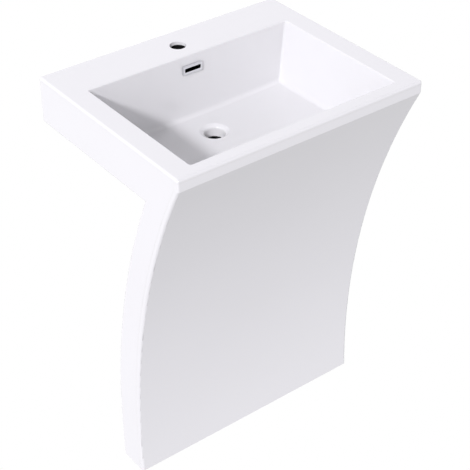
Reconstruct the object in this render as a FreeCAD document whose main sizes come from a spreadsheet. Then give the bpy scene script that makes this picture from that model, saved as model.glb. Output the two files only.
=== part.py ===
import FreeCAD, Part

import os
import re

# Pedestal sink in moulded white composite: a deep rectangular bowl in a thick deck, carried by a
# hollow stem that sweeps back to the floor. All the panels are cut from one outside form, so that
# their outer faces run flush. +Z is up, -Y is the front, the origin is on the floor under the
# middle of the deck, and lengths are in millimetres.

DIMENSIONS = {
    # outside form
    "overall_width": 600,
    "overall_depth": 480,
    "overall_height": 865,
    "deck_depth": 104,
    "front_band": 27,
    "sweep_radius": 1625,
    "foot_setback": 170,
    "stem_depth": 75,
    "edge_radius": 5,
    "panel_thickness": 12,
    # bowl
    "bowl_wall": 8,
    "side_rim": 49,
    "front_rim": 29,
    "back_ledge": 108,
    "bowl_depth": 150,
    "side_lean": 17,
    "front_lean": 53,
    "back_lean": 2,
    "bowl_corner_radius": 5,
    "bowl_floor_radius": 9,
    "rim_radius": 2.5,
    "floor_radius": 4600,
    "floor_lift": 2,
    # waste and tap
    "waste_from_back": 186,
    "waste_hole": 45,
    "waste_recess": 66,
    "waste_recess_depth": 6,
    "waste_recess_margin": 1,
    "waste_bore": 21,
    "waste_edge_radius": 4,
    "boss_diameter": 66,
    "tap_from_back": 60,
    "tap_hole": 35,
    "tap_edge_radius": 0.8,
    # overflow
    "overflow_drop": 32,
    "opening_width": 44,
    "opening_height": 16,
    "opening_radius": 3,
    "trim_width": 50,
    "trim_height": 22,
    "trim_thickness": 3,
    "trim_radius": 3,
    "trim_edge_radius": 1,
    "slot_width": 40,
    "slot_height": 9,
    "slot_radius": 2,
    "sleeve_wall": 1.5,
    "sleeve_length": 12,
    "gasket_thickness": 0.8,
    "gasket_margin": 1,
    "window_margin": 1,
    "collar_gap": 0.1,
    "channel_width": 60,
    "channel_depth": 14,
    "channel_wall": 2,
    "collar_diameter": 76,
    "collar_wall": 5,
    "collar_height": 24,
    "duct_height": 16,
    "duct_head": 17,
    # inner structure
    "board_depth": 71,
    "board_thickness": 18,
    "cleat_length": 350,
    "rib_spacing": 200,
    "rib_setback": 10,
    "base_board_level": 40,
    # wall brackets
    "fixing_spacing": 440,
    "fixing_level": 800,
    "fixing_hole": 10,
    "bracket_width": 60,
    "bracket_drop": 60,
    "bracket_depth": 50,
    "bracket_steel": 3,
    "screw_spacing": 36,
    "screw_diameter": 4,
    "screw_head": 8,
    "screw_head_height": 2.5,
    "screw_length": 15,
    "screw_from_wall": 40,
    "bend_radius": 2,
    "bend_outer_radius": 5,
    # levelling feet
    "foot_spacing": 480,
    "foot_line": -25,
    "thread_diameter": 10,
    "thread_gap": 0.05,
    "insert_diameter": 14,
    "flange_diameter": 22,
    "flange_thickness": 2,
    "nut_flats": 17,
    "nut_height": 8,
    "stud_flats": 13,
    "stud_hexagon": 8,
    "grip_gap": 2,
    "stud_length": 84,
    "driver_slot": 1.5,
    "pivot_diameter": 8,
    "pivot_gap": 0.1,
    "pivot_level": 4,
    "pad_diameter": 40,
    "pad_neck": 18,
    "pad_rim": 5,
    "pad_height": 11,
}

SIDES = {"left": "-1", "right": "1"}
HEXAGON = 6
REACH = "100"  # how far a cutting tool runs past the faces that it cuts
SKIN = "1"  # how far a tool runs past a face when there is another face close behind
NEAR = 0.01  # how closely an edge has to lie on the place where it is looked for

UPRIGHT = FreeCAD.Rotation()
ALONG_X = FreeCAD.Rotation(FreeCAD.Vector(0, 1, 0), 90)
ALONG_Y = FreeCAD.Rotation(FreeCAD.Vector(1, 0, 0), -90)
WEDGE_UPRIGHT = FreeCAD.Rotation(FreeCAD.Vector(1, 0, 0), 90)
SEAM_UP = FreeCAD.Rotation(FreeCAD.Vector(0, 1, 0), -90)

# Places that several parts share, as formulas of the driving dimensions.
SIDE = "(overall_width / 2)"
BACK = "(overall_depth / 2)"
FRONT = "(-overall_depth / 2)"
DECK_UNDERSIDE = "(overall_height - bowl_wall)"
DECK_FOOT = "(overall_height - deck_depth)"
INNER_SIDE = "(overall_width / 2 - panel_thickness)"
INNER_BACK = "(overall_depth / 2 - panel_thickness)"
INNER_FRONT = "(panel_thickness - overall_depth / 2)"
RIM_SIDE = "(overall_width / 2 - side_rim)"
RIM_FRONT = "(front_rim - overall_depth / 2)"
RIM_BACK = "(overall_depth / 2 - back_ledge)"
BOWL_BACK = f"({RIM_BACK} + bowl_wall)"
BOWL_FLOOR = "(overall_height - bowl_depth)"
FLOOR_APEX = f"({BOWL_FLOOR} + floor_lift)"
WASTE_Y = "(overall_depth / 2 - waste_from_back)"
BORE_TOP = f"({FLOOR_APEX} + waste_recess_margin - waste_recess_depth)"
BORE_FOOT = f"({BORE_TOP} - waste_bore)"
TAP_Y = "(overall_depth / 2 - tap_from_back)"
OVERFLOW_LEVEL = "(overall_height - overflow_drop)"
TRIM_DEPTH = "(overflow_drop + trim_height / 2)"
GASKET_BACK = f"({RIM_BACK} - back_lean * {TRIM_DEPTH} / bowl_depth)"
TRIM_BACK = f"({GASKET_BACK} - gasket_thickness)"
BOARD_FOOT = f"({DECK_UNDERSIDE} - board_thickness)"
COLLAR_FOOT = f"({BORE_FOOT} - collar_height)"
CHAMBER_FOOT = f"({COLLAR_FOOT} + collar_wall)"
BOARD_FRONT = f"({INNER_BACK} - board_depth)"
BRACKET_TOP = f"({BOARD_FOOT} - bracket_steel)"
NUT_FOOT = "(base_board_level + board_thickness)"
PAD_TOP = "(pad_height + 2 * pivot_gap)"

# The front sweeps down on an arc from the foot of the front band to the front of the foot.
# Its axis lies along X, in front of the sink.
SWEEP_RISE = "(overall_height - front_band)"
SWEEP_CHORD = f"sqrt(foot_setback ^ 2 + {SWEEP_RISE} ^ 2)"
AXIS_REACH = f"sqrt(sweep_radius ^ 2 - {SWEEP_CHORD} ^ 2 / 4)"
AXIS_Y = f"({FRONT} + foot_setback / 2 - {AXIS_REACH} * {SWEEP_RISE} / {SWEEP_CHORD})"
AXIS_Z = f"({SWEEP_RISE} / 2 - {AXIS_REACH} * foot_setback / {SWEEP_CHORD})"

doc = FreeCAD.newDocument("pedestal_sink")
sub_parts = []


def in_sheet(formula):
    """The formula with each driving dimension written as a cell of the sheet."""
    def cell(word):
        return f"Dimensions.{word[0]}" if word[0] in DIMENSIONS else word[0]

    return re.sub(r"[a-z]+(_[a-z]+)*", cell, formula)


def make_sheet():
    """The driving dimensions, one row each: the name in column A and the number in column B."""
    cells = doc.addObject("Spreadsheet::Sheet", "Dimensions")
    for row, (alias, number) in enumerate(DIMENSIONS.items(), start=1):
        cells.set(f"A{row}", alias)
        cells.set(f"B{row}", str(number))
        cells.setAlias(f"B{row}", alias)
    doc.recompute()
    return cells


sheet = make_sheet()


def value(formula):
    """The number that a formula of the driving dimensions comes to."""
    return float(sheet.evalExpression(in_sheet(formula)))


def primitive(kind, name, at, turn=UPRIGHT, **sizes):
    """A Part primitive placed at three formulas, with each of its sizes bound to a formula."""
    shape = doc.addObject(f"Part::{kind}", name)
    shape.Placement.Rotation = turn
    for axis, formula in zip("xyz", at):
        shape.setExpression(f"Placement.Base.{axis}", in_sheet(formula))
    for size, formula in sizes.items():
        shape.setExpression(size, in_sheet(formula))
    return shape


def block(name, x, y, z):
    """A box between the low and high planes given for each axis."""
    sizes = {size: f"({high}) - ({low})"
             for size, (low, high) in (("Length", x), ("Width", y), ("Height", z))}
    return primitive("Box", name, (x[0], y[0], z[0]), **sizes)


def span_at(side, inner, outer):
    """The low and high planes between two distances from the middle, on the left or the right."""
    return (f"-({outer})", f"-({inner})") if side == "left" else (inner, outer)


def rod(name, at, diameter, length, turn=UPRIGHT):
    """A cylinder that starts at a point and runs along its turned axis."""
    return primitive("Cylinder", name, at, turn, Radius=f"({diameter}) / 2", Height=length)


def cone(name, at, low_diameter, high_diameter, height):
    """An upright cone or part of a cone."""
    ends = {"Radius1": f"({low_diameter}) / 2", "Radius2": f"({high_diameter}) / 2"}
    return primitive("Cone", name, at, Height=height, **ends)


def hexagon(name, at, flats, height):
    """An upright hexagonal prism, measured across its flats."""
    prism = primitive("Prism", name, at, Circumradius=f"{flats} / sqrt(3)", Height=height)
    prism.Polygon = HEXAGON
    return prism


def cut(name, base, *tools):
    """The base with every tool taken away."""
    result = doc.addObject("Part::Cut", name)
    result.Base = base
    result.Tool = tools[0] if len(tools) == 1 else fuse(f"{name}_tools", *tools)
    result.Refine = True
    return result


def fuse(name, *shapes):
    """The shapes joined into one solid."""
    result = doc.addObject("Part::MultiFuse", name)
    result.Shapes = list(shapes)
    result.Refine = True
    return result


def common(name, *shapes):
    """The space that the shapes share."""
    result = doc.addObject("Part::MultiCommon", name)
    result.Shapes = list(shapes)
    result.Refine = True
    return result


def rounded(name, base, **rounds):
    """The base with edges rounded: each radius is a driving dimension, and its test picks the edges."""
    doc.recompute()
    picked = []
    for radius, is_picked in rounds.items():
        size = value(radius)
        for index, edge in enumerate(base.Shape.Edges, start=1):
            if is_picked(edge):
                picked.append((index, size, size))
    result = doc.addObject("Part::Fillet", name)
    result.Base = base
    result.Edges = picked
    return result


def sub_part(label, shape):
    """Keeps a finished shape as one piece of the sink."""
    shape.Label = label
    sub_parts.append(shape)
    return shape


def is_near(first, second):
    return abs(first - second) < NEAR


def is_upright(edge):
    """True for an edge that rises more than it runs."""
    box = edge.BoundBox
    return box.ZLength > max(box.XLength, box.YLength)


def is_along_depth(edge):
    box = edge.BoundBox
    return box.YLength > max(box.XLength, box.ZLength)


# Outside form: the silhouette of the sink, as wide as the deck, with its outer edges rounded.


def make_outside_form():
    whole = block("whole", (f"-{SIDE}", SIDE), (FRONT, BACK), ("0", "overall_height"))
    wide = f"overall_width + 2 * {REACH}"
    left_end = f"-{SIDE} - {REACH}"
    front_sweep = rod("front_sweep", (left_end, AXIS_Y, AXIS_Z), "2 * sweep_radius", wide, ALONG_X)
    back_sweep = rod("back_sweep", (left_end, f"{AXIS_Y} + stem_depth", AXIS_Z),
                     "2 * sweep_radius", wide, ALONG_X)
    knee_room = block("knee_room", (left_end, f"{SIDE} + {REACH}"),
                      (f"{FRONT} - {REACH}", f"{BACK} + {REACH}"), (f"-{REACH}", DECK_FOOT))
    behind_stem = cut("behind_stem", knee_room, back_sweep)
    silhouette = cut("silhouette", whole, front_sweep, behind_stem)
    deck_foot = value(DECK_FOOT)

    def is_outer(edge):
        """Every edge but those on the floor and the one in the hollow under the deck."""
        box = edge.BoundBox
        on_floor = box.ZMax < NEAR
        in_hollow = is_near(box.ZMin, deck_foot) and box.ZLength < NEAR and box.YMax < 0
        return not on_floor and not in_hollow

    return rounded("outside_form", silhouette, edge_radius=is_outer)


def make_inside(form):
    """The part of the form that lies behind the front panel and under the deck plate."""
    behind_band = block("behind_band", (f"-{SIDE} - {REACH}", f"{SIDE} + {REACH}"),
                        (INNER_FRONT, f"{BACK} + {REACH}"), (f"-{REACH}", DECK_UNDERSIDE))
    panel_sweep = rod("panel_sweep", (f"-{SIDE} - 2 * {REACH}", AXIS_Y, AXIS_Z),
                      "2 * (sweep_radius + panel_thickness)", f"overall_width + 4 * {REACH}", ALONG_X)
    behind_panel = cut("behind_panel", behind_band, panel_sweep)
    return behind_panel, common("inside", form, behind_panel)


outside_form = make_outside_form()
behind_panel, inside = make_inside(outside_form)


# Panels of the stem and the deck.


def make_front_panel():
    below_deck = block("below_deck", (f"-{SIDE}", SIDE), (FRONT, BACK), ("0", DECK_UNDERSIDE))
    front = common("front_and_inside", outside_form, below_deck)
    sub_part("front_panel", cut("front_panel_solid", front, behind_panel))


def make_side_panel(side):
    slab = block(f"slab_{side}", span_at(side, INNER_SIDE, SIDE), (FRONT, BACK), ("0", "overall_height"))
    sub_part(f"side_panel_{side}", common(f"side_panel_{side}_solid", inside, slab))


def fixing_holes():
    """Holes for the two wall bolts, through the apron and the brackets behind it."""
    at_y = f"{BACK} - {REACH}"
    return [rod(f"fixing_hole_{side}", (f"{sign} * fixing_spacing / 2", at_y, "fixing_level"),
                "fixing_hole", f"2 * {REACH}", ALONG_Y) for side, sign in SIDES.items()]


def make_back_apron(holes):
    slab = block("apron_slab", (f"-{INNER_SIDE}", INNER_SIDE), (INNER_BACK, BACK),
                 (DECK_FOOT, DECK_UNDERSIDE))
    apron = common("apron", inside, slab)
    sub_part("back_apron", cut("back_apron_solid", apron, *holes))


# Basin: the deck plate with the bowl, and its tap hole, overflow opening and waste.


def bowl_wedge(name, half_width, front, back, foot, grown):
    """A bowl-shaped wedge from a level foot up to the top of the deck, its walls leaning outwards.

    The wedge's own Y runs up and its own Z runs forwards. The walls keep their lean when the foot
    is set lower than the bowl's floor by the distance called grown.
    """
    lean = f"(bowl_depth + {grown}) / bowl_depth"
    sizes = {
        "Ymin": foot,
        "Ymax": "overall_height",
        "Xmin": f"side_lean * {lean} - {half_width}",
        "Xmax": f"{half_width} - side_lean * {lean}",
        "Zmin": f"-({back[0]})",
        "Zmax": f"-({front} + front_lean * {lean})",
        "X2min": f"-{half_width}",
        "X2max": half_width,
        "Z2min": f"-({back[1]})",
        "Z2max": f"-({front})",
    }
    return primitive("Wedge", name, ("0", "0", "0"), WEDGE_UPRIGHT, **sizes)


def make_bowl_hollow():
    """The room inside the bowl: leaning walls, rounded corners and a floor dished to the waste."""
    back = (f"{RIM_BACK} - back_lean", RIM_BACK)
    room = bowl_wedge("bowl_room", RIM_SIDE, RIM_FRONT, back, BOWL_FLOOR, "0")
    dish = primitive("Sphere", "floor_dish", ("0", WASTE_Y, f"{FLOOR_APEX} + floor_radius"), SEAM_UP,
                     Radius="floor_radius")
    hollow = common("bowl_hollow", room, dish)
    half_way_down = value("overall_height - bowl_depth / 2")

    def is_floor_line(edge):
        """An edge where the floor meets a wall."""
        return edge.BoundBox.ZMax < half_way_down

    return rounded("bowl_hollow_rounded", hollow, bowl_corner_radius=is_upright,
                   bowl_floor_radius=is_floor_line)


def overflow_block(name, width, height, y):
    """A box as wide and high as the formulas say, centred on the overflow."""
    return block(name, (f"-({width}) / 2", f"({width}) / 2"), y,
                 (f"{OVERFLOW_LEVEL} - ({height}) / 2", f"{OVERFLOW_LEVEL} + ({height}) / 2"))


def make_basin(tap):
    deck_layer = block("deck_layer", (f"-{SIDE}", SIDE), (FRONT, BACK), (DECK_UNDERSIDE, "overall_height"))
    deck = common("deck", outside_form, deck_layer)
    shell = bowl_wedge("bowl_shell", f"({RIM_SIDE} + bowl_wall)", f"({RIM_FRONT} - bowl_wall)",
                       (BOWL_BACK, BOWL_BACK), f"({BOWL_FLOOR} - bowl_wall)", "bowl_wall")
    boss = rod("waste_boss", ("0", WASTE_Y, BORE_FOOT), "boss_diameter", f"{BOWL_FLOOR} - {BORE_FOOT}")
    solid = fuse("basin_blank", deck, shell, boss)
    recess = cone("waste_recess_cone", ("0", WASTE_Y, BORE_TOP), "waste_hole", "waste_recess",
                  "waste_recess_depth")
    bore = rod("waste_bore_tool", ("0", WASTE_Y, f"{BORE_FOOT} - {REACH}"), "waste_hole",
               f"waste_bore + {REACH}")
    through_wall = (f"{RIM_BACK} - back_lean - {SKIN}", f"{BOWL_BACK} + {SKIN}")
    opening = rounded("overflow_opening",
                      overflow_block("opening_tool", "opening_width", "opening_height", through_wall),
                      opening_radius=is_along_depth)
    hollowed = cut("basin_hollowed", solid, make_bowl_hollow(), recess, bore, tap, opening)
    top = value("overall_height")
    rim_side = value(RIM_SIDE)
    rim_back = value(RIM_BACK)
    tap_width = value("tap_hole")
    recess_top = value(f"{BORE_TOP} + waste_recess_depth")
    bore_top = value(BORE_TOP)
    recess_width = value("waste_recess")
    bore_width = value("waste_hole")

    def is_rim(edge):
        box = edge.BoundBox
        within = max(-box.XMin, box.XMax) < rim_side + NEAR and box.YMax < rim_back + NEAR
        return is_near(box.ZMin, top) and within

    def is_tap_edge(edge):
        box = edge.BoundBox
        return is_near(box.ZMin, top) and is_near(box.XLength, tap_width) and box.YMin > rim_back

    def is_waste_edge(edge):
        """The upper and the lower edge of the cone round the waste hole."""
        box = edge.BoundBox
        at_cone = bore_top - NEAR < box.ZMin and box.ZMax < recess_top + NEAR
        is_round = bore_width - NEAR < box.XLength < recess_width + NEAR
        return at_cone and is_round and box.YLength > bore_width - NEAR

    sub_part("basin", rounded("basin_solid", hollowed, rim_radius=is_rim, tap_edge_radius=is_tap_edge,
                              waste_edge_radius=is_waste_edge))


# Overflow: the chrome trim with its gasket, and the duct down to the waste.


def make_overflow_trim():
    trim_front = f"{TRIM_BACK} - trim_thickness"
    flange = rounded("trim_flange",
                     overflow_block("trim_block", "trim_width", "trim_height", (trim_front, TRIM_BACK)),
                     trim_radius=is_along_depth)
    front = value(trim_front)

    def is_face_edge(edge):
        return edge.BoundBox.YMax < front + NEAR

    face = rounded("trim_face", flange, trim_edge_radius=is_face_edge)
    sleeve = overflow_block("trim_sleeve", "slot_width + 2 * sleeve_wall", "slot_height + 2 * sleeve_wall",
                            (f"{TRIM_BACK} - {SKIN}", f"{TRIM_BACK} + sleeve_length"))
    through = (f"{TRIM_BACK} - {REACH}", f"{TRIM_BACK} + {REACH}")
    slot = rounded("trim_slot", overflow_block("slot_block", "slot_width", "slot_height", through),
                   slot_radius=is_along_depth)
    sub_part("overflow_trim", cut("overflow_trim_solid", fuse("trim_blank", face, sleeve), slot))


def make_overflow_gasket():
    outer = rounded("gasket_outer",
                    overflow_block("gasket_block", "trim_width - 2 * gasket_margin",
                                   "trim_height - 2 * gasket_margin", (TRIM_BACK, GASKET_BACK)),
                    trim_radius=is_along_depth)
    room = overflow_block("gasket_room", "opening_width", "opening_height",
                          (f"{TRIM_BACK} - {REACH}", f"{TRIM_BACK} + {REACH}"))
    sub_part("overflow_gasket", cut("overflow_gasket_solid", outer, room))


def duct_leg(name, wall, front, foot):
    """The upright and the level leg of the duct, drawn in by a wall on every closed side."""
    half = f"(channel_width / 2 - {wall})"
    back = f"{BOWL_BACK} + channel_depth - {wall}"
    upright = block(f"{name}_upright", (f"-{half}", half), (f"{BOWL_BACK} + {wall}", back),
                    (f"{foot} + {wall}", f"{OVERFLOW_LEVEL} + duct_head - {wall}"))
    level = block(f"{name}_level", (f"-{half}", half), (front, back),
                  (f"{foot} + {wall}", f"{foot} + duct_height - {wall}"))
    return fuse(name, upright, level)


def make_overflow_duct():
    """The duct behind and under the bowl, and the collar round the waste that it runs into."""
    duct_foot = f"({CHAMBER_FOOT} - channel_wall)"
    outer = duct_leg("duct_outer", "0", WASTE_Y, duct_foot)
    inner = duct_leg("duct_inner", "channel_wall", f"{WASTE_Y} + waste_hole / 2", duct_foot)
    window = overflow_block("duct_window", "opening_width + 2 * window_margin",
                            "opening_height + 2 * window_margin",
                            (f"{BOWL_BACK} - {SKIN}", f"{BOWL_BACK} + channel_depth / 2"))
    collar_at = ("0", WASTE_Y, COLLAR_FOOT)
    round_collar = rod("round_collar", collar_at, "collar_diameter + 2 * collar_gap", "collar_height")
    sub_part("overflow_channel", cut("overflow_channel_solid", outer, inner, window, round_collar))
    chamber = rod("collar_chamber", ("0", WASTE_Y, CHAMBER_FOOT), "collar_diameter - 2 * collar_wall",
                  "collar_height")
    seat = rod("collar_seat", ("0", WASTE_Y, f"{COLLAR_FOOT} - {SKIN}"), "waste_hole", "collar_height")
    collar = rod("collar_body", collar_at, "collar_diameter", "collar_height")
    sub_part("overflow_collar", cut("overflow_collar_solid", collar, chamber, seat, inner))


# Inner structure: board and cleats under the deck, ribs and base board in the stem.


def make_ledge_board(tap, screw_holes):
    board = block("ledge_board", (f"-{INNER_SIDE}", INNER_SIDE), (BOARD_FRONT, INNER_BACK),
                  (BOARD_FOOT, DECK_UNDERSIDE))
    sub_part("tap_ledge_board", cut("tap_ledge_board_solid", board, tap, *screw_holes))


def make_deck_cleat(side):
    span = span_at(side, f"{INNER_SIDE} - board_thickness", INNER_SIDE)
    sub_part(f"deck_cleat_{side}",
             block(f"cleat_{side}", span, (f"{BOARD_FRONT} - cleat_length", BOARD_FRONT),
                   (BOARD_FOOT, DECK_UNDERSIDE)))


def stem_board(name, foot, thickness):
    """A board across the stem that follows the front panel and stops short of the open back."""
    top = f"({foot} + {thickness})"
    rise = f"({top} - {AXIS_Z})"
    back = f"{AXIS_Y} + stem_depth + sqrt(sweep_radius ^ 2 - {rise} ^ 2) - rib_setback"
    layer = block(f"{name}_layer", (f"-{INNER_SIDE}", INNER_SIDE), (FRONT, back), (foot, top))
    return common(f"{name}_blank", inside, layer)


def make_stem_boards(insert_holes):
    for step, height in enumerate(("lower", "middle", "upper"), start=1):
        name = f"stem_rib_{height}"
        sub_part(name, stem_board(name, f"{step} * rib_spacing", "panel_thickness"))
    board = stem_board("base", "base_board_level", "board_thickness")
    sub_part("base_board", cut("base_board_solid", board, *insert_holes))


# Wall brackets: bent steel between the ledge board and the apron, with two screws each.


def screw_places():
    """The name and the place in X of each screw."""
    return [(f"{side}_{end}", f"{sign} * fixing_spacing / 2 + {shift} * screw_spacing / 2")
            for side, sign in SIDES.items() for end, shift in SIDES.items()]


def screw_shank(name, x):
    return rod(f"shank_{name}", (x, f"{BACK} - screw_from_wall", BRACKET_TOP), "screw_diameter",
               "screw_length")


def make_bracket(side, sign, holes):
    middle = f"{sign} * fixing_spacing / 2"
    span = (f"{middle} - bracket_width / 2", f"{middle} + bracket_width / 2")
    leg = block(f"bracket_leg_{side}", span, (f"{INNER_BACK} - bracket_steel", INNER_BACK),
                (f"{BOARD_FOOT} - bracket_drop", BOARD_FOOT))
    shelf = block(f"bracket_shelf_{side}", span, (f"{INNER_BACK} - bracket_depth", INNER_BACK),
                  (BRACKET_TOP, BOARD_FOOT))
    angle = fuse(f"bracket_angle_{side}", leg, shelf)
    inner_bend = (value(f"{INNER_BACK} - bracket_steel"), value(BRACKET_TOP))
    outer_bend = (value(INNER_BACK), value(BOARD_FOOT))

    def runs_along(bend):
        def is_there(edge):
            centre = edge.CenterOfMass
            along = edge.BoundBox.XLength > NEAR
            return along and is_near(centre.y, bend[0]) and is_near(centre.z, bend[1])

        return is_there

    bent = rounded(f"bracket_bent_{side}", angle, bend_radius=runs_along(inner_bend),
                   bend_outer_radius=runs_along(outer_bend))
    sub_part(f"wall_bracket_{side}", cut(f"wall_bracket_{side}_solid", bent, *holes))


def make_bracket_screws():
    screws = []
    for name, x in screw_places():
        at = (x, f"{BACK} - screw_from_wall", f"{BRACKET_TOP} - screw_head_height")
        head = rod(f"head_{name}", at, "screw_head", "screw_head_height")
        screws.append(fuse(f"screw_{name}", screw_shank(f"of_{name}", x), head))
    group = doc.addObject("Part::Compound", "bracket_screw_group")
    group.Links = screws
    sub_part("bracket_screws", group)


# Levelling feet: a stud turns in the insert of the base board and pushes its pad down.


def foot_rod(name, side, foot, diameter, length):
    """An upright cylinder on the line of one levelling foot."""
    return rod(f"{name}_{side}", (f"{SIDES[side]} * foot_spacing / 2", "foot_line", foot), diameter, length)


def make_levelling_foot(side, sign):
    centre = (f"{sign} * foot_spacing / 2", "foot_line")
    bore = foot_rod("thread_bore", side, "0", "thread_diameter + 2 * thread_gap", REACH)

    flange = foot_rod("insert_flange", side, "base_board_level - flange_thickness", "flange_diameter",
                      "flange_thickness")
    sleeve = foot_rod("insert_sleeve", side, "base_board_level", "insert_diameter", "board_thickness")
    insert = fuse(f"insert_blank_{side}", flange, sleeve)
    sub_part(f"threaded_insert_{side}", cut(f"threaded_insert_{side}_solid", insert, bore))

    nut = hexagon(f"nut_blank_{side}", (*centre, NUT_FOOT), "nut_flats", "nut_height")
    sub_part(f"lock_nut_{side}", cut(f"lock_nut_{side}_solid", nut, bore))

    pivot = foot_rod("stud_pivot", side, "pivot_level", "pivot_diameter - 2 * pivot_gap", PAD_TOP)
    shank = foot_rod("stud_shank", side, PAD_TOP, "thread_diameter", f"pivot_level + stud_length - {PAD_TOP}")
    grip_foot = f"{PAD_TOP} + grip_gap"
    grip = hexagon(f"stud_hexagon_{side}", (*centre, grip_foot), "stud_flats", "stud_hexagon")
    stud = fuse(f"stud_blank_{side}", pivot, shank, grip)
    middle = centre[0]
    slot = block(f"driver_slot_{side}", (f"{middle} - thread_diameter", f"{middle} + thread_diameter"),
                 ("foot_line - driver_slot / 2", "foot_line + driver_slot / 2"),
                 ("pivot_level + stud_length - 2 * driver_slot", REACH))
    sub_part(f"levelling_stud_{side}", cut(f"levelling_stud_{side}_solid", stud, slot))

    disc = foot_rod("pad_disc", side, "0", "pad_diameter", "pad_rim")
    crown = cone(f"pad_crown_{side}", (*centre, "pad_rim"), "pad_diameter", "pad_neck",
                 "pad_height - pad_rim")
    socket = foot_rod("pad_socket", side, "pivot_level - 2 * pivot_gap", "pivot_diameter", "pad_height")
    pad = fuse(f"pad_blank_{side}", disc, crown)
    sub_part(f"foot_pad_{side}", cut(f"foot_pad_{side}_solid", pad, socket))


def check_model():
    """Stops if any object of the document failed, or any piece is empty or unsound."""
    failed = [shape.Name for shape in doc.Objects if {"Invalid", "Error"} & set(shape.State)]
    failed += [piece.Label for piece in sub_parts if piece.Shape.isNull() or not piece.Shape.isValid()]
    if failed:
        raise RuntimeError(f"these objects failed: {failed}")


def write_parts():
    os.makedirs("parts", exist_ok=True)
    for piece in sub_parts:
        piece.Shape.exportStep(f"parts/{piece.Label}.step")


tap_tool = rod("tap_hole_tool", ("0", TAP_Y, f"{DECK_UNDERSIDE} - {REACH}"), "tap_hole", f"2 * {REACH}")
wall_holes = fixing_holes()
screw_holes = [screw_shank(name, x) for name, x in screw_places()]
insert_holes = [foot_rod("insert_hole", side, f"base_board_level - {SKIN}", "insert_diameter",
                         f"board_thickness + 2 * {SKIN}") for side in SIDES]

make_basin(tap_tool)
make_front_panel()
make_back_apron(wall_holes)
make_overflow_trim()
make_overflow_gasket()
make_overflow_duct()
make_ledge_board(tap_tool, screw_holes)
make_stem_boards(insert_holes)
make_bracket_screws()
for side, sign in SIDES.items():
    make_side_panel(side)
    make_deck_cleat(side)
    make_bracket(side, sign, wall_holes + screw_holes)
    make_levelling_foot(side, sign)

doc.recompute()
check_model()
write_parts()
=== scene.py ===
import math

import bmesh
import bpy
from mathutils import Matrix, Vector


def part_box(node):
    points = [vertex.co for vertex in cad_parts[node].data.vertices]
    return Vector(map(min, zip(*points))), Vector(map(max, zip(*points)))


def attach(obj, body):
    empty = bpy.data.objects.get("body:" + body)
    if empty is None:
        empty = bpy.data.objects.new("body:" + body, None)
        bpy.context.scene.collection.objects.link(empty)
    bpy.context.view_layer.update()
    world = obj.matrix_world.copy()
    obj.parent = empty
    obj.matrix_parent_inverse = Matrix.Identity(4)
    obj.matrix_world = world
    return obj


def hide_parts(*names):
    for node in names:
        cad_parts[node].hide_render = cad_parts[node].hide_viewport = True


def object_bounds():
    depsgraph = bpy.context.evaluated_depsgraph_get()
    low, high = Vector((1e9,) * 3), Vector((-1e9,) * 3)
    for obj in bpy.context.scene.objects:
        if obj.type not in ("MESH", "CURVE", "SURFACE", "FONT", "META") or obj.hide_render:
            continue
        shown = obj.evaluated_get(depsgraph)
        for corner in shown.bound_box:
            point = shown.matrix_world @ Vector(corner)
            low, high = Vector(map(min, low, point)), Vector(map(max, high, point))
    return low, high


# Looks of the pedestal sink: finishes for its CAD pieces, real threads on its levelling feet, and
# the floor, light and camera. Lengths are in metres, +Z is up and -Y is the front.

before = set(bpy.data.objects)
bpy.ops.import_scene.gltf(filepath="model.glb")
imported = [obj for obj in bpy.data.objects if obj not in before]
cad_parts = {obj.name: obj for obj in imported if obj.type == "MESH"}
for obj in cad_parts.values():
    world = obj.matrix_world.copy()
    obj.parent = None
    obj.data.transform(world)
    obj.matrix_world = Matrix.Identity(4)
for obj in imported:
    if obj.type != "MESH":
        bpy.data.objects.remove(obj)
cad_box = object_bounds()

SIDES = ("left", "right")

# Places that the finishes need, as the CAD has them.
INNER_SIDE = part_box("stem_rib_middle")[1].x
INNER_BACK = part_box("back_apron")[0].y
DECK_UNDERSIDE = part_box("tap_ledge_board")[1].z
SWEEP_AXIS = Vector((0.0, -1.6914, 0.1073))
SWEEP_RADIUS = 1.625
PANEL = 0.012
HALF_MM = 0.0005

# Camera, at the photograph's viewing angle.
LENS = 99.75
CAMERA_TURN = math.radians(37.46)
CAMERA_TILT = math.radians(35.71)
CAMERA_DISTANCE = 2.812
AIM = Vector((0.0, -0.016, 0.489))

# Studio: the tint of its light, how strongly it glows towards each side, its lamps and its floor.
STUDIO_WHITE = (0.972, 0.963, 1.0)
GLOWS = (((0, 1, 0), 1.41), ((0, -1, 0), 0.84), ((1, 0, 0), 0.50), ((0, 0, 1), 0.09))
KEY_OFFSET = Vector((-0.62, -0.32, 0.47))
KEY_STRENGTH = 2.44
KEY_ANGLE = math.radians(6)
SOFTBOXES = {"left_softbox": ((-3.0, -0.5, 0.6), 14.6), "high_softbox": ((-2.6, 0.4, 2.6), 11.6)}
SOFTBOX_SIZE = 3.0
FLOOR_HALF = 120.0
FLOOR_ROUGHNESS = 0.6

# Screws of the levelling feet.
TURN_STEPS = 48
TURNS = [2 * math.pi * step / TURN_STEPS for step in range(TURN_STEPS)]
HALF_DISC_STEPS = 12
PITCH = 0.0015
SPARE_PITCHES = 3
THREAD_PROFILE = ((0.0, 0.0041), (0.15, 0.0041), (0.48, 0.00498), (0.67, 0.00498))
STUD_FLATS = 0.013
GRIP_RISE = 0.0092
GRIP_HEIGHT = 0.008
PIVOT_RADIUS = 0.0039
PIVOT_CHAMFER = 0.0006
TIP_RADIUS = 0.0040
TIP_LENGTH = 0.0035
SLOT_WIDTH = 0.0015
SLOT_DEPTH = 0.003
NUT_FLATS = 0.017
NUT_BORE = 0.00505
NUT_COUNTERSINK = 0.0007
CHAMFER_SHARE = 0.96
CHAMFER_SLOPE = 0.5

# Noise mostly stays between these two, so a factor is spread from the one to the other.
NOISE_LOW = 0.3
NOISE_HIGH = 0.7


# Node helpers.


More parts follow.
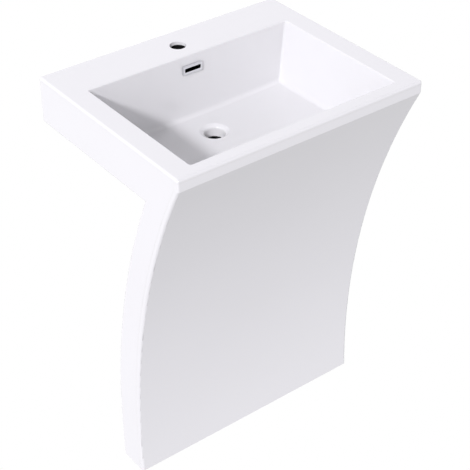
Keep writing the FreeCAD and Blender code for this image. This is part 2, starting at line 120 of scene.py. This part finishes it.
class Nodes:
    """A material's node tree, with one short call for each kind of node that the finishes use."""

    def __init__(self, name):
        self.material = bpy.data.materials.new(name)
        self.material.use_nodes = True
        self.tree = self.material.node_tree
        self.shader = self.tree.nodes["Principled BSDF"]
        place = self.tree.nodes.new("ShaderNodeTexCoord")
        self.place = place.outputs["Object"]
        self.normal = self.tree.nodes.new("ShaderNodeNewGeometry").outputs["Normal"]

    def join(self, source, socket):
        """Feeds a socket from another socket, or sets it to a number or a colour."""
        if isinstance(source, bpy.types.NodeSocket):
            self.tree.links.new(source, socket)
        else:
            socket.default_value = source

    def math(self, operation, first, second=0.0):
        node = self.tree.nodes.new("ShaderNodeMath")
        node.operation = operation
        self.join(first, node.inputs[0])
        self.join(second, node.inputs[1])
        return node.outputs[0]

    def vector_math(self, operation, first, second):
        node = self.tree.nodes.new("ShaderNodeVectorMath")
        node.operation = operation
        self.join(first, node.inputs[0])
        self.join(second, node.inputs[1])
        return node.outputs["Value"] if operation == "DOT_PRODUCT" else node.outputs["Vector"]

    def split(self, vector):
        node = self.tree.nodes.new("ShaderNodeSeparateXYZ")
        self.join(vector, node.inputs[0])
        return node.outputs

    def stretched(self, factors):
        """The object's own coordinates, scaled on each axis."""
        return self.vector_math("MULTIPLY", self.place, factors)

    def noise(self, scale, detail=2.0, place=None):
        node = self.tree.nodes.new("ShaderNodeTexNoise")
        node.inputs["Scale"].default_value = scale
        node.inputs["Detail"].default_value = detail
        self.join(place or self.place, node.inputs["Vector"])
        return node.outputs["Fac"]

    def ranged(self, factor, low, high):
        """A noise factor spread from low to high."""
        node = self.tree.nodes.new("ShaderNodeMapRange")
        ends = {"From Min": NOISE_LOW, "From Max": NOISE_HIGH, "To Min": low, "To Max": high}
        for name, number in ends.items():
            node.inputs[name].default_value = number
        self.join(factor, node.inputs["Value"])
        return node.outputs["Result"]

    def mixed(self, factor, first, second, kind="RGBA"):
        node = self.tree.nodes.new("ShaderNodeMix")
        node.data_type = kind
        ends = [socket for socket in node.inputs if socket.name in "AB" and socket.enabled]
        self.join(factor, node.inputs[0])
        self.join(first, ends[0])
        self.join(second, ends[1])
        return next(socket for socket in node.outputs if socket.enabled)

    def bump(self, height, depth):
        node = self.tree.nodes.new("ShaderNodeBump")
        node.inputs["Strength"].default_value = 1.0
        node.inputs["Distance"].default_value = depth
        self.join(height, node.inputs["Height"])
        self.join(node.outputs["Normal"], self.shader.inputs["Normal"])

    def finish(self, colour, roughness, metallic=0.0):
        self.join(colour, self.shader.inputs["Base Color"])
        self.join(roughness, self.shader.inputs["Roughness"])
        self.join(metallic, self.shader.inputs["Metallic"])
        return self.material


# Screw threads and hexagons, in place of the plain cylinders and prisms of the CAD.


def around(centre, radius, turn, z):
    """The point at a radius and a turn from an upright axis, at height z."""
    return Vector((centre.x + radius * math.cos(turn), centre.y + radius * math.sin(turn), z))


def circle(centre, radius, z):
    return [around(centre, radius, turn, z) for turn in TURNS]


def hexagon(centre, flats, z, drop, chamfer):
    """A hexagon whose corners outside the chamfer's radius are lowered by a share of their reach."""
    ring = []
    for turn in TURNS:
        across = (turn + math.pi / 6) % (math.pi / 3) - math.pi / 6
        reach = flats / 2 / math.cos(math.pi / 6 - abs(across))
        level = z - drop * max(0.0, reach - chamfer)
        ring.append(around(centre, reach, turn, level))
    return ring


def loft(shape, rings, is_tube=False):
    """Joins rings of points with faces. The ends are capped, or joined to each other as a tube."""
    rows = [[shape.verts.new(point) for point in ring] for ring in rings]
    pairs = list(zip(rows, rows[1:]))
    if is_tube:
        pairs.append((rows[-1], rows[0]))
    else:
        shape.faces.new(list(reversed(rows[0])))
        shape.faces.new(rows[-1])
    for low, high in pairs:
        for index in range(len(low)):
            after = (index + 1) % len(low)
            shape.faces.new((low[index], low[after], high[after], high[index]))


def add_thread(shape, centre, foot, top):
    """A right-handed thread between two levels, closed at both ends.

    It is made a little too long below and above, and then cut off at the two levels.
    """
    thread = bmesh.new()
    pitches = math.ceil((top - foot) / PITCH) + SPARE_PITCHES
    start = foot - SPARE_PITCHES / 2 * PITCH
    rows = []
    for pitch in range(pitches):
        for share, radius in THREAD_PROFILE:
            level = start + (pitch + share) * PITCH
            rows.append([thread.verts.new(around(centre, radius, turn, level + PITCH * index / TURN_STEPS))
                         for index, turn in enumerate(TURNS)])
    step = len(THREAD_PROFILE)
    for row in range(len(rows) - step - 1):
        low, high = rows[row], rows[row + 1]
        for index in range(TURN_STEPS - 1):
            thread.faces.new((low[index], low[index + 1], high[index + 1], high[index]))
        thread.faces.new((low[-1], rows[row + step][0], rows[row + step + 1][0], high[-1]))
    for level, side in ((foot, -1), (top, 1)):
        parts = thread.verts[:] + thread.edges[:] + thread.faces[:]
        cut = bmesh.ops.bisect_plane(thread, geom=parts, plane_co=(0, 0, level), plane_no=(0, 0, side),
                                     clear_outer=True)
        edges = [part for part in cut["geom_cut"] if isinstance(part, bmesh.types.BMEdge)]
        bmesh.ops.contextual_create(thread, geom=edges)
    mesh = bpy.data.meshes.new("thread")
    thread.to_mesh(mesh)
    thread.free()
    shape.from_mesh(mesh)
    bpy.data.meshes.remove(mesh)


def add_slotted_tip(shape, centre, foot, top):
    """The unthreaded end of a stud: two half discs with the driver slot between them."""
    loft(shape, [circle(centre, TIP_RADIUS, foot), circle(centre, TIP_RADIUS, top - SLOT_DEPTH)])
    edge = math.asin(SLOT_WIDTH / 2 / TIP_RADIUS)
    arc = [edge + (math.pi - 2 * edge) * step / HALF_DISC_STEPS for step in range(HALF_DISC_STEPS + 1)]
    for side in (-1, 1):
        loft(shape, [[around(centre, TIP_RADIUS, side * turn, level) for turn in arc]
                     for level in (top - SLOT_DEPTH, top)])


def finished_piece(name, shape, material, body, node):
    """Makes an object of the shape, which stands for a CAD node and rides on its body."""
    bmesh.ops.recalc_face_normals(shape, faces=shape.faces)
    mesh = bpy.data.meshes.new(name)
    shape.to_mesh(mesh)
    shape.free()
    mesh.materials.append(material)
    piece = bpy.data.objects.new(name, mesh)
    bpy.context.scene.collection.objects.link(piece)
    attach(piece, body)
    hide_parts(node)


def make_stud(side, material):
    """A levelling stud: pivot, hexagon for a spanner, thread and slotted tip."""
    node = f"levelling_stud_{side}"
    low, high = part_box(node)
    centre = (low + high) / 2
    grip_foot = low.z + GRIP_RISE
    grip_top = grip_foot + GRIP_HEIGHT
    chamfer = STUD_FLATS / 2 * CHAMFER_SHARE
    shape = bmesh.new()
    loft(shape, [circle(centre, PIVOT_RADIUS - PIVOT_CHAMFER, low.z),
                 circle(centre, PIVOT_RADIUS, low.z + PIVOT_CHAMFER),
                 circle(centre, PIVOT_RADIUS, grip_foot)])
    loft(shape, [circle(centre, chamfer, grip_foot),
                 hexagon(centre, STUD_FLATS, grip_foot, -CHAMFER_SLOPE, chamfer),
                 hexagon(centre, STUD_FLATS, grip_top, CHAMFER_SLOPE, chamfer),
                 circle(centre, chamfer, grip_top)])
    add_thread(shape, centre, grip_top, high.z - TIP_LENGTH)
    add_slotted_tip(shape, centre, high.z - TIP_LENGTH, high.z)
    finished_piece(f"threaded_stud_{side}", shape, material, f"stud_{side}", node)


def make_nut(side, material):
    """A lock nut with its corners chamfered above and below."""
    node = f"lock_nut_{side}"
    low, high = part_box(node)
    centre = (low + high) / 2
    chamfer = NUT_FLATS / 2 * CHAMFER_SHARE
    shape = bmesh.new()
    loft(shape, [circle(centre, NUT_BORE, low.z + NUT_COUNTERSINK),
                 circle(centre, NUT_BORE + NUT_COUNTERSINK, low.z),
                 circle(centre, chamfer, low.z),
                 hexagon(centre, NUT_FLATS, low.z, -CHAMFER_SLOPE, chamfer),
                 hexagon(centre, NUT_FLATS, high.z, CHAMFER_SLOPE, chamfer),
                 circle(centre, chamfer, high.z),
                 circle(centre, NUT_BORE + NUT_COUNTERSINK, high.z),
                 circle(centre, NUT_BORE, high.z - NUT_COUNTERSINK)], is_tube=True)
    finished_piece(f"chamfered_nut_{side}", shape, material, "sink", node)


# Finishes.


def gelcoat_or_cast(name, find_unseen):
    """White composite: glossy gelcoat where it shows, and the bare cast where find_unseen gives 1."""
    nodes = Nodes(name)
    unseen = find_unseen(nodes)
    clouds = nodes.noise(4.0)
    gloss_colour = nodes.mixed(clouds, (0.750, 0.746, 0.758, 1), (0.770, 0.766, 0.778, 1))
    gloss_rough = nodes.ranged(nodes.noise(30.0, 3.0), 0.07, 0.12)
    grain = nodes.noise(420.0, 4.0)
    cast_colour = nodes.mixed(nodes.ranged(grain, 0, 1), (0.60, 0.59, 0.57, 1), (0.74, 0.73, 0.71, 1))
    cast_rough = nodes.ranged(nodes.noise(60.0, 4.0), 0.55, 0.75)
    colour = nodes.mixed(unseen, gloss_colour, cast_colour)
    roughness = nodes.mixed(unseen, gloss_rough, cast_rough, "FLOAT")
    ripple = nodes.math("MULTIPLY", nodes.noise(150.0, 1.0), 0.04)
    nodes.bump(nodes.mixed(unseen, ripple, grain, "FLOAT"), 0.0005)
    return nodes.finish(colour, roughness)


def all_of_it(nodes):
    return 1.0


def inside_the_sides(nodes):
    across = nodes.math("ABSOLUTE", nodes.split(nodes.place)["X"])
    return nodes.math("LESS_THAN", across, INNER_SIDE + HALF_MM)


def inside_the_back(nodes):
    return nodes.math("LESS_THAN", nodes.split(nodes.place)["Y"], INNER_BACK + HALF_MM)


def behind_the_front(nodes):
    """Behind the band, or further from the axis of the sweep than the panel is thick."""
    place = nodes.split(nodes.place)
    behind_band = nodes.math("GREATER_THAN", place["Y"], cad_box[0].y + PANEL - HALF_MM)
    from_axis = nodes.vector_math("SUBTRACT", nodes.place, SWEEP_AXIS)
    upright = nodes.vector_math("MULTIPLY", from_axis, (0, 1, 1))
    reach = nodes.vector_math("DOT_PRODUCT", upright, upright)
    inner_reach = (SWEEP_RADIUS + PANEL - HALF_MM) ** 2
    behind_sweep = nodes.math("GREATER_THAN", reach, inner_reach)
    return nodes.math("MULTIPLY", behind_band, behind_sweep)


def under_the_basin(nodes):
    """Below the deck plate and facing away from the room of the bowl."""
    middle_of_bowl = (0.0, -0.03, 0.80)
    outwards = nodes.vector_math("SUBTRACT", nodes.place, middle_of_bowl)
    facing = nodes.vector_math("DOT_PRODUCT", outwards, nodes.normal)
    away = nodes.math("GREATER_THAN", facing, 0.0)
    below = nodes.math("LESS_THAN", nodes.split(nodes.place)["Z"], DECK_UNDERSIDE + HALF_MM)
    return nodes.math("MULTIPLY", away, below)


def plated(name, dark, light, rough_low, rough_high, grain, depth):
    """A metal with faint streaks: the grain gives how fine they are on each axis."""
    nodes = Nodes(name)
    streaks = nodes.noise(1.0, 3.0, nodes.stretched(grain))
    colour = nodes.mixed(streaks, (*dark, 1), (*light, 1))
    roughness = nodes.ranged(streaks, rough_low, rough_high)
    nodes.bump(streaks, depth)
    return nodes.finish(colour, roughness, 1.0)


def plastic(name, dark, light, rough_low, rough_high, grain, depth):
    """A moulded or pressed plastic with a fine grain."""
    nodes = Nodes(name)
    cells = nodes.noise(grain, 3.0)
    colour = nodes.mixed(nodes.noise(25.0), (*dark, 1), (*light, 1))
    roughness = nodes.ranged(cells, rough_low, rough_high)
    nodes.bump(cells, depth)
    return nodes.finish(colour, roughness)


def dress(material, *names):
    for name in names:
        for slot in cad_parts[name].material_slots:
            slot.material = material


def make_finishes():
    dress(gelcoat_or_cast("gelcoat_basin", under_the_basin), "basin")
    dress(gelcoat_or_cast("gelcoat_front", behind_the_front), "front_panel")
    dress(gelcoat_or_cast("gelcoat_sides", inside_the_sides), "side_panel_left", "side_panel_right")
    dress(gelcoat_or_cast("gelcoat_apron", inside_the_back), "back_apron")
    dress(gelcoat_or_cast("bare_cast", all_of_it), "deck_cleat_left", "deck_cleat_right", "stem_rib_lower",
          "stem_rib_middle", "stem_rib_upper", "base_board")
    dress(plated("chrome", (0.74, 0.75, 0.77), (0.84, 0.85, 0.87), 0.05, 0.11, (60, 60, 60), 0.00001),
          "overflow_trim")
    zinc = plated("zinc_steel", (0.42, 0.43, 0.45), (0.66, 0.67, 0.70), 0.26, 0.42, (90, 90, 420), 0.00004)
    dress(zinc, "wall_bracket_left", "wall_bracket_right", "bracket_screws")
    dress(plated("brass", (0.62, 0.46, 0.20), (0.80, 0.64, 0.34), 0.22, 0.38, (80, 80, 500), 0.00004),
          "threaded_insert_left", "threaded_insert_right")
    # Painted shade: the tap ledge board is made near black and given a tenth of the usual reflection, so the
    # tap hole above it looks as dark as deep shade.
    board = plastic("board_painted_shade", (0.004, 0.004, 0.004), (0.009, 0.009, 0.010), 0.55, 0.75, 900.0, 0.0001)
    board.node_tree.nodes["Principled BSDF"].inputs["Specular IOR Level"].default_value = 0.1
    dress(board, "tap_ledge_board")
    dress(plastic("black_duct", (0.010, 0.010, 0.011), (0.022, 0.022, 0.023), 0.32, 0.45, 1400.0, 0.00003),
          "overflow_channel", "overflow_collar")
    dress(plastic("black_rubber", (0.012, 0.012, 0.012), (0.020, 0.020, 0.020), 0.70, 0.85, 1800.0, 0.00003),
          "overflow_gasket")
    dress(plastic("pad_nylon", (0.016, 0.016, 0.018), (0.034, 0.034, 0.037), 0.40, 0.55, 1600.0, 0.00003),
          "foot_pad_left", "foot_pad_right")
    return zinc


zinc_steel = make_finishes()
for side in SIDES:
    make_stud(side, zinc_steel)
    make_nut(side, zinc_steel)


# Floor, light and camera.


def make_floor():
    """A white floor that glows evenly. It shows and casts no shadow, and lights only reflections."""
    mesh = bpy.data.meshes.new("floor")
    corners = [(-1, -1), (1, -1), (1, 1), (-1, 1)]
    points = [(x * FLOOR_HALF, y * FLOOR_HALF, 0) for x, y in corners]
    mesh.from_pydata(points, [], [tuple(range(len(points)))])
    floor = bpy.data.objects.new("floor", mesh)
    bpy.context.scene.collection.objects.link(floor)
    nodes = Nodes("pale_floor")
    mesh.materials.append(nodes.finish((0, 0, 0, 1), FLOOR_ROUGHNESS))
    nodes.shader.inputs["Specular IOR Level"].default_value = 0.0
    nodes.shader.inputs["Emission Color"].default_value = (1, 1, 1, 1)
    nodes.shader.inputs["Emission Strength"].default_value = 1.0
    nodes.material.cycles.emission_sampling = "NONE"
    floor.visible_diffuse = False
    floor.visible_shadow = False


def make_light(name, kind, place, strength, **settings):
    """A light at a place, aimed at the middle of the sink."""
    lamp = bpy.data.lights.new(name, kind)
    lamp.energy = strength
    lamp.color = STUDIO_WHITE
    for setting, number in settings.items():
        setattr(lamp, setting, number)
    light = bpy.data.objects.new(name, lamp)
    light.location = place
    light.rotation_euler = (AIM - Vector(place)).to_track_quat("-Z", "Y").to_euler()
    bpy.context.scene.collection.objects.link(light)


def make_world():
    """Two soft studio walls, in front and behind, with a weaker glow from the right and above.

    What the camera sees past the floor is plain white.
    """
    world = bpy.data.worlds.new("studio")
    world.use_nodes = True
    tree = world.node_tree
    background = tree.nodes["Background"]
    background.inputs["Color"].default_value = (*STUDIO_WHITE, 1)
    direction = tree.nodes.new("ShaderNodeTexCoord").outputs["Generated"]
    total = None
    for towards, strength in GLOWS:
        facing = tree.nodes.new("ShaderNodeVectorMath")
        facing.operation = "DOT_PRODUCT"
        facing.inputs[1].default_value = [strength * part for part in towards]
        tree.links.new(direction, facing.inputs[0])
        lobe = tree.nodes.new("ShaderNodeMath")
        lobe.operation = "MAXIMUM"
        lobe.inputs[1].default_value = 0.0
        tree.links.new(facing.outputs["Value"], lobe.inputs[0])
        if total is None:
            total = lobe.outputs[0]
            continue
        added = tree.nodes.new("ShaderNodeMath")
        tree.links.new(total, added.inputs[0])
        tree.links.new(lobe.outputs[0], added.inputs[1])
        total = added.outputs[0]
    tree.links.new(total, background.inputs["Strength"])
    backdrop = tree.nodes.new("ShaderNodeBackground")
    backdrop.inputs["Color"].default_value = (1, 1, 1, 1)
    seen_or_light = tree.nodes.new("ShaderNodeMixShader")
    light_path = tree.nodes.new("ShaderNodeLightPath")
    tree.links.new(light_path.outputs["Is Camera Ray"], seen_or_light.inputs[0])
    tree.links.new(background.outputs[0], seen_or_light.inputs[1])
    tree.links.new(backdrop.outputs[0], seen_or_light.inputs[2])
    tree.links.new(seen_or_light.outputs[0], tree.nodes["World Output"].inputs["Surface"])
    bpy.context.scene.world = world


def make_camera():
    lens = bpy.data.cameras.new("camera")
    lens.lens = LENS
    camera = bpy.data.objects.new("camera", lens)
    ahead = Vector((math.sin(CAMERA_TURN) * math.cos(CAMERA_TILT),
                    math.cos(CAMERA_TURN) * math.cos(CAMERA_TILT), -math.sin(CAMERA_TILT)))
    camera.location = AIM - CAMERA_DISTANCE * ahead
    camera.rotation_euler = ahead.to_track_quat("-Z", "Y").to_euler()
    bpy.context.scene.collection.objects.link(camera)
    bpy.context.scene.camera = camera


make_floor()
make_world()
make_camera()
make_light("key", "SUN", AIM + KEY_OFFSET, KEY_STRENGTH, angle=KEY_ANGLE)
for softbox, (place, strength) in SOFTBOXES.items():
    make_light(softbox, "AREA", place, strength, size=SOFTBOX_SIZE)
bpy.context.scene.view_settings.view_transform = "Standard"
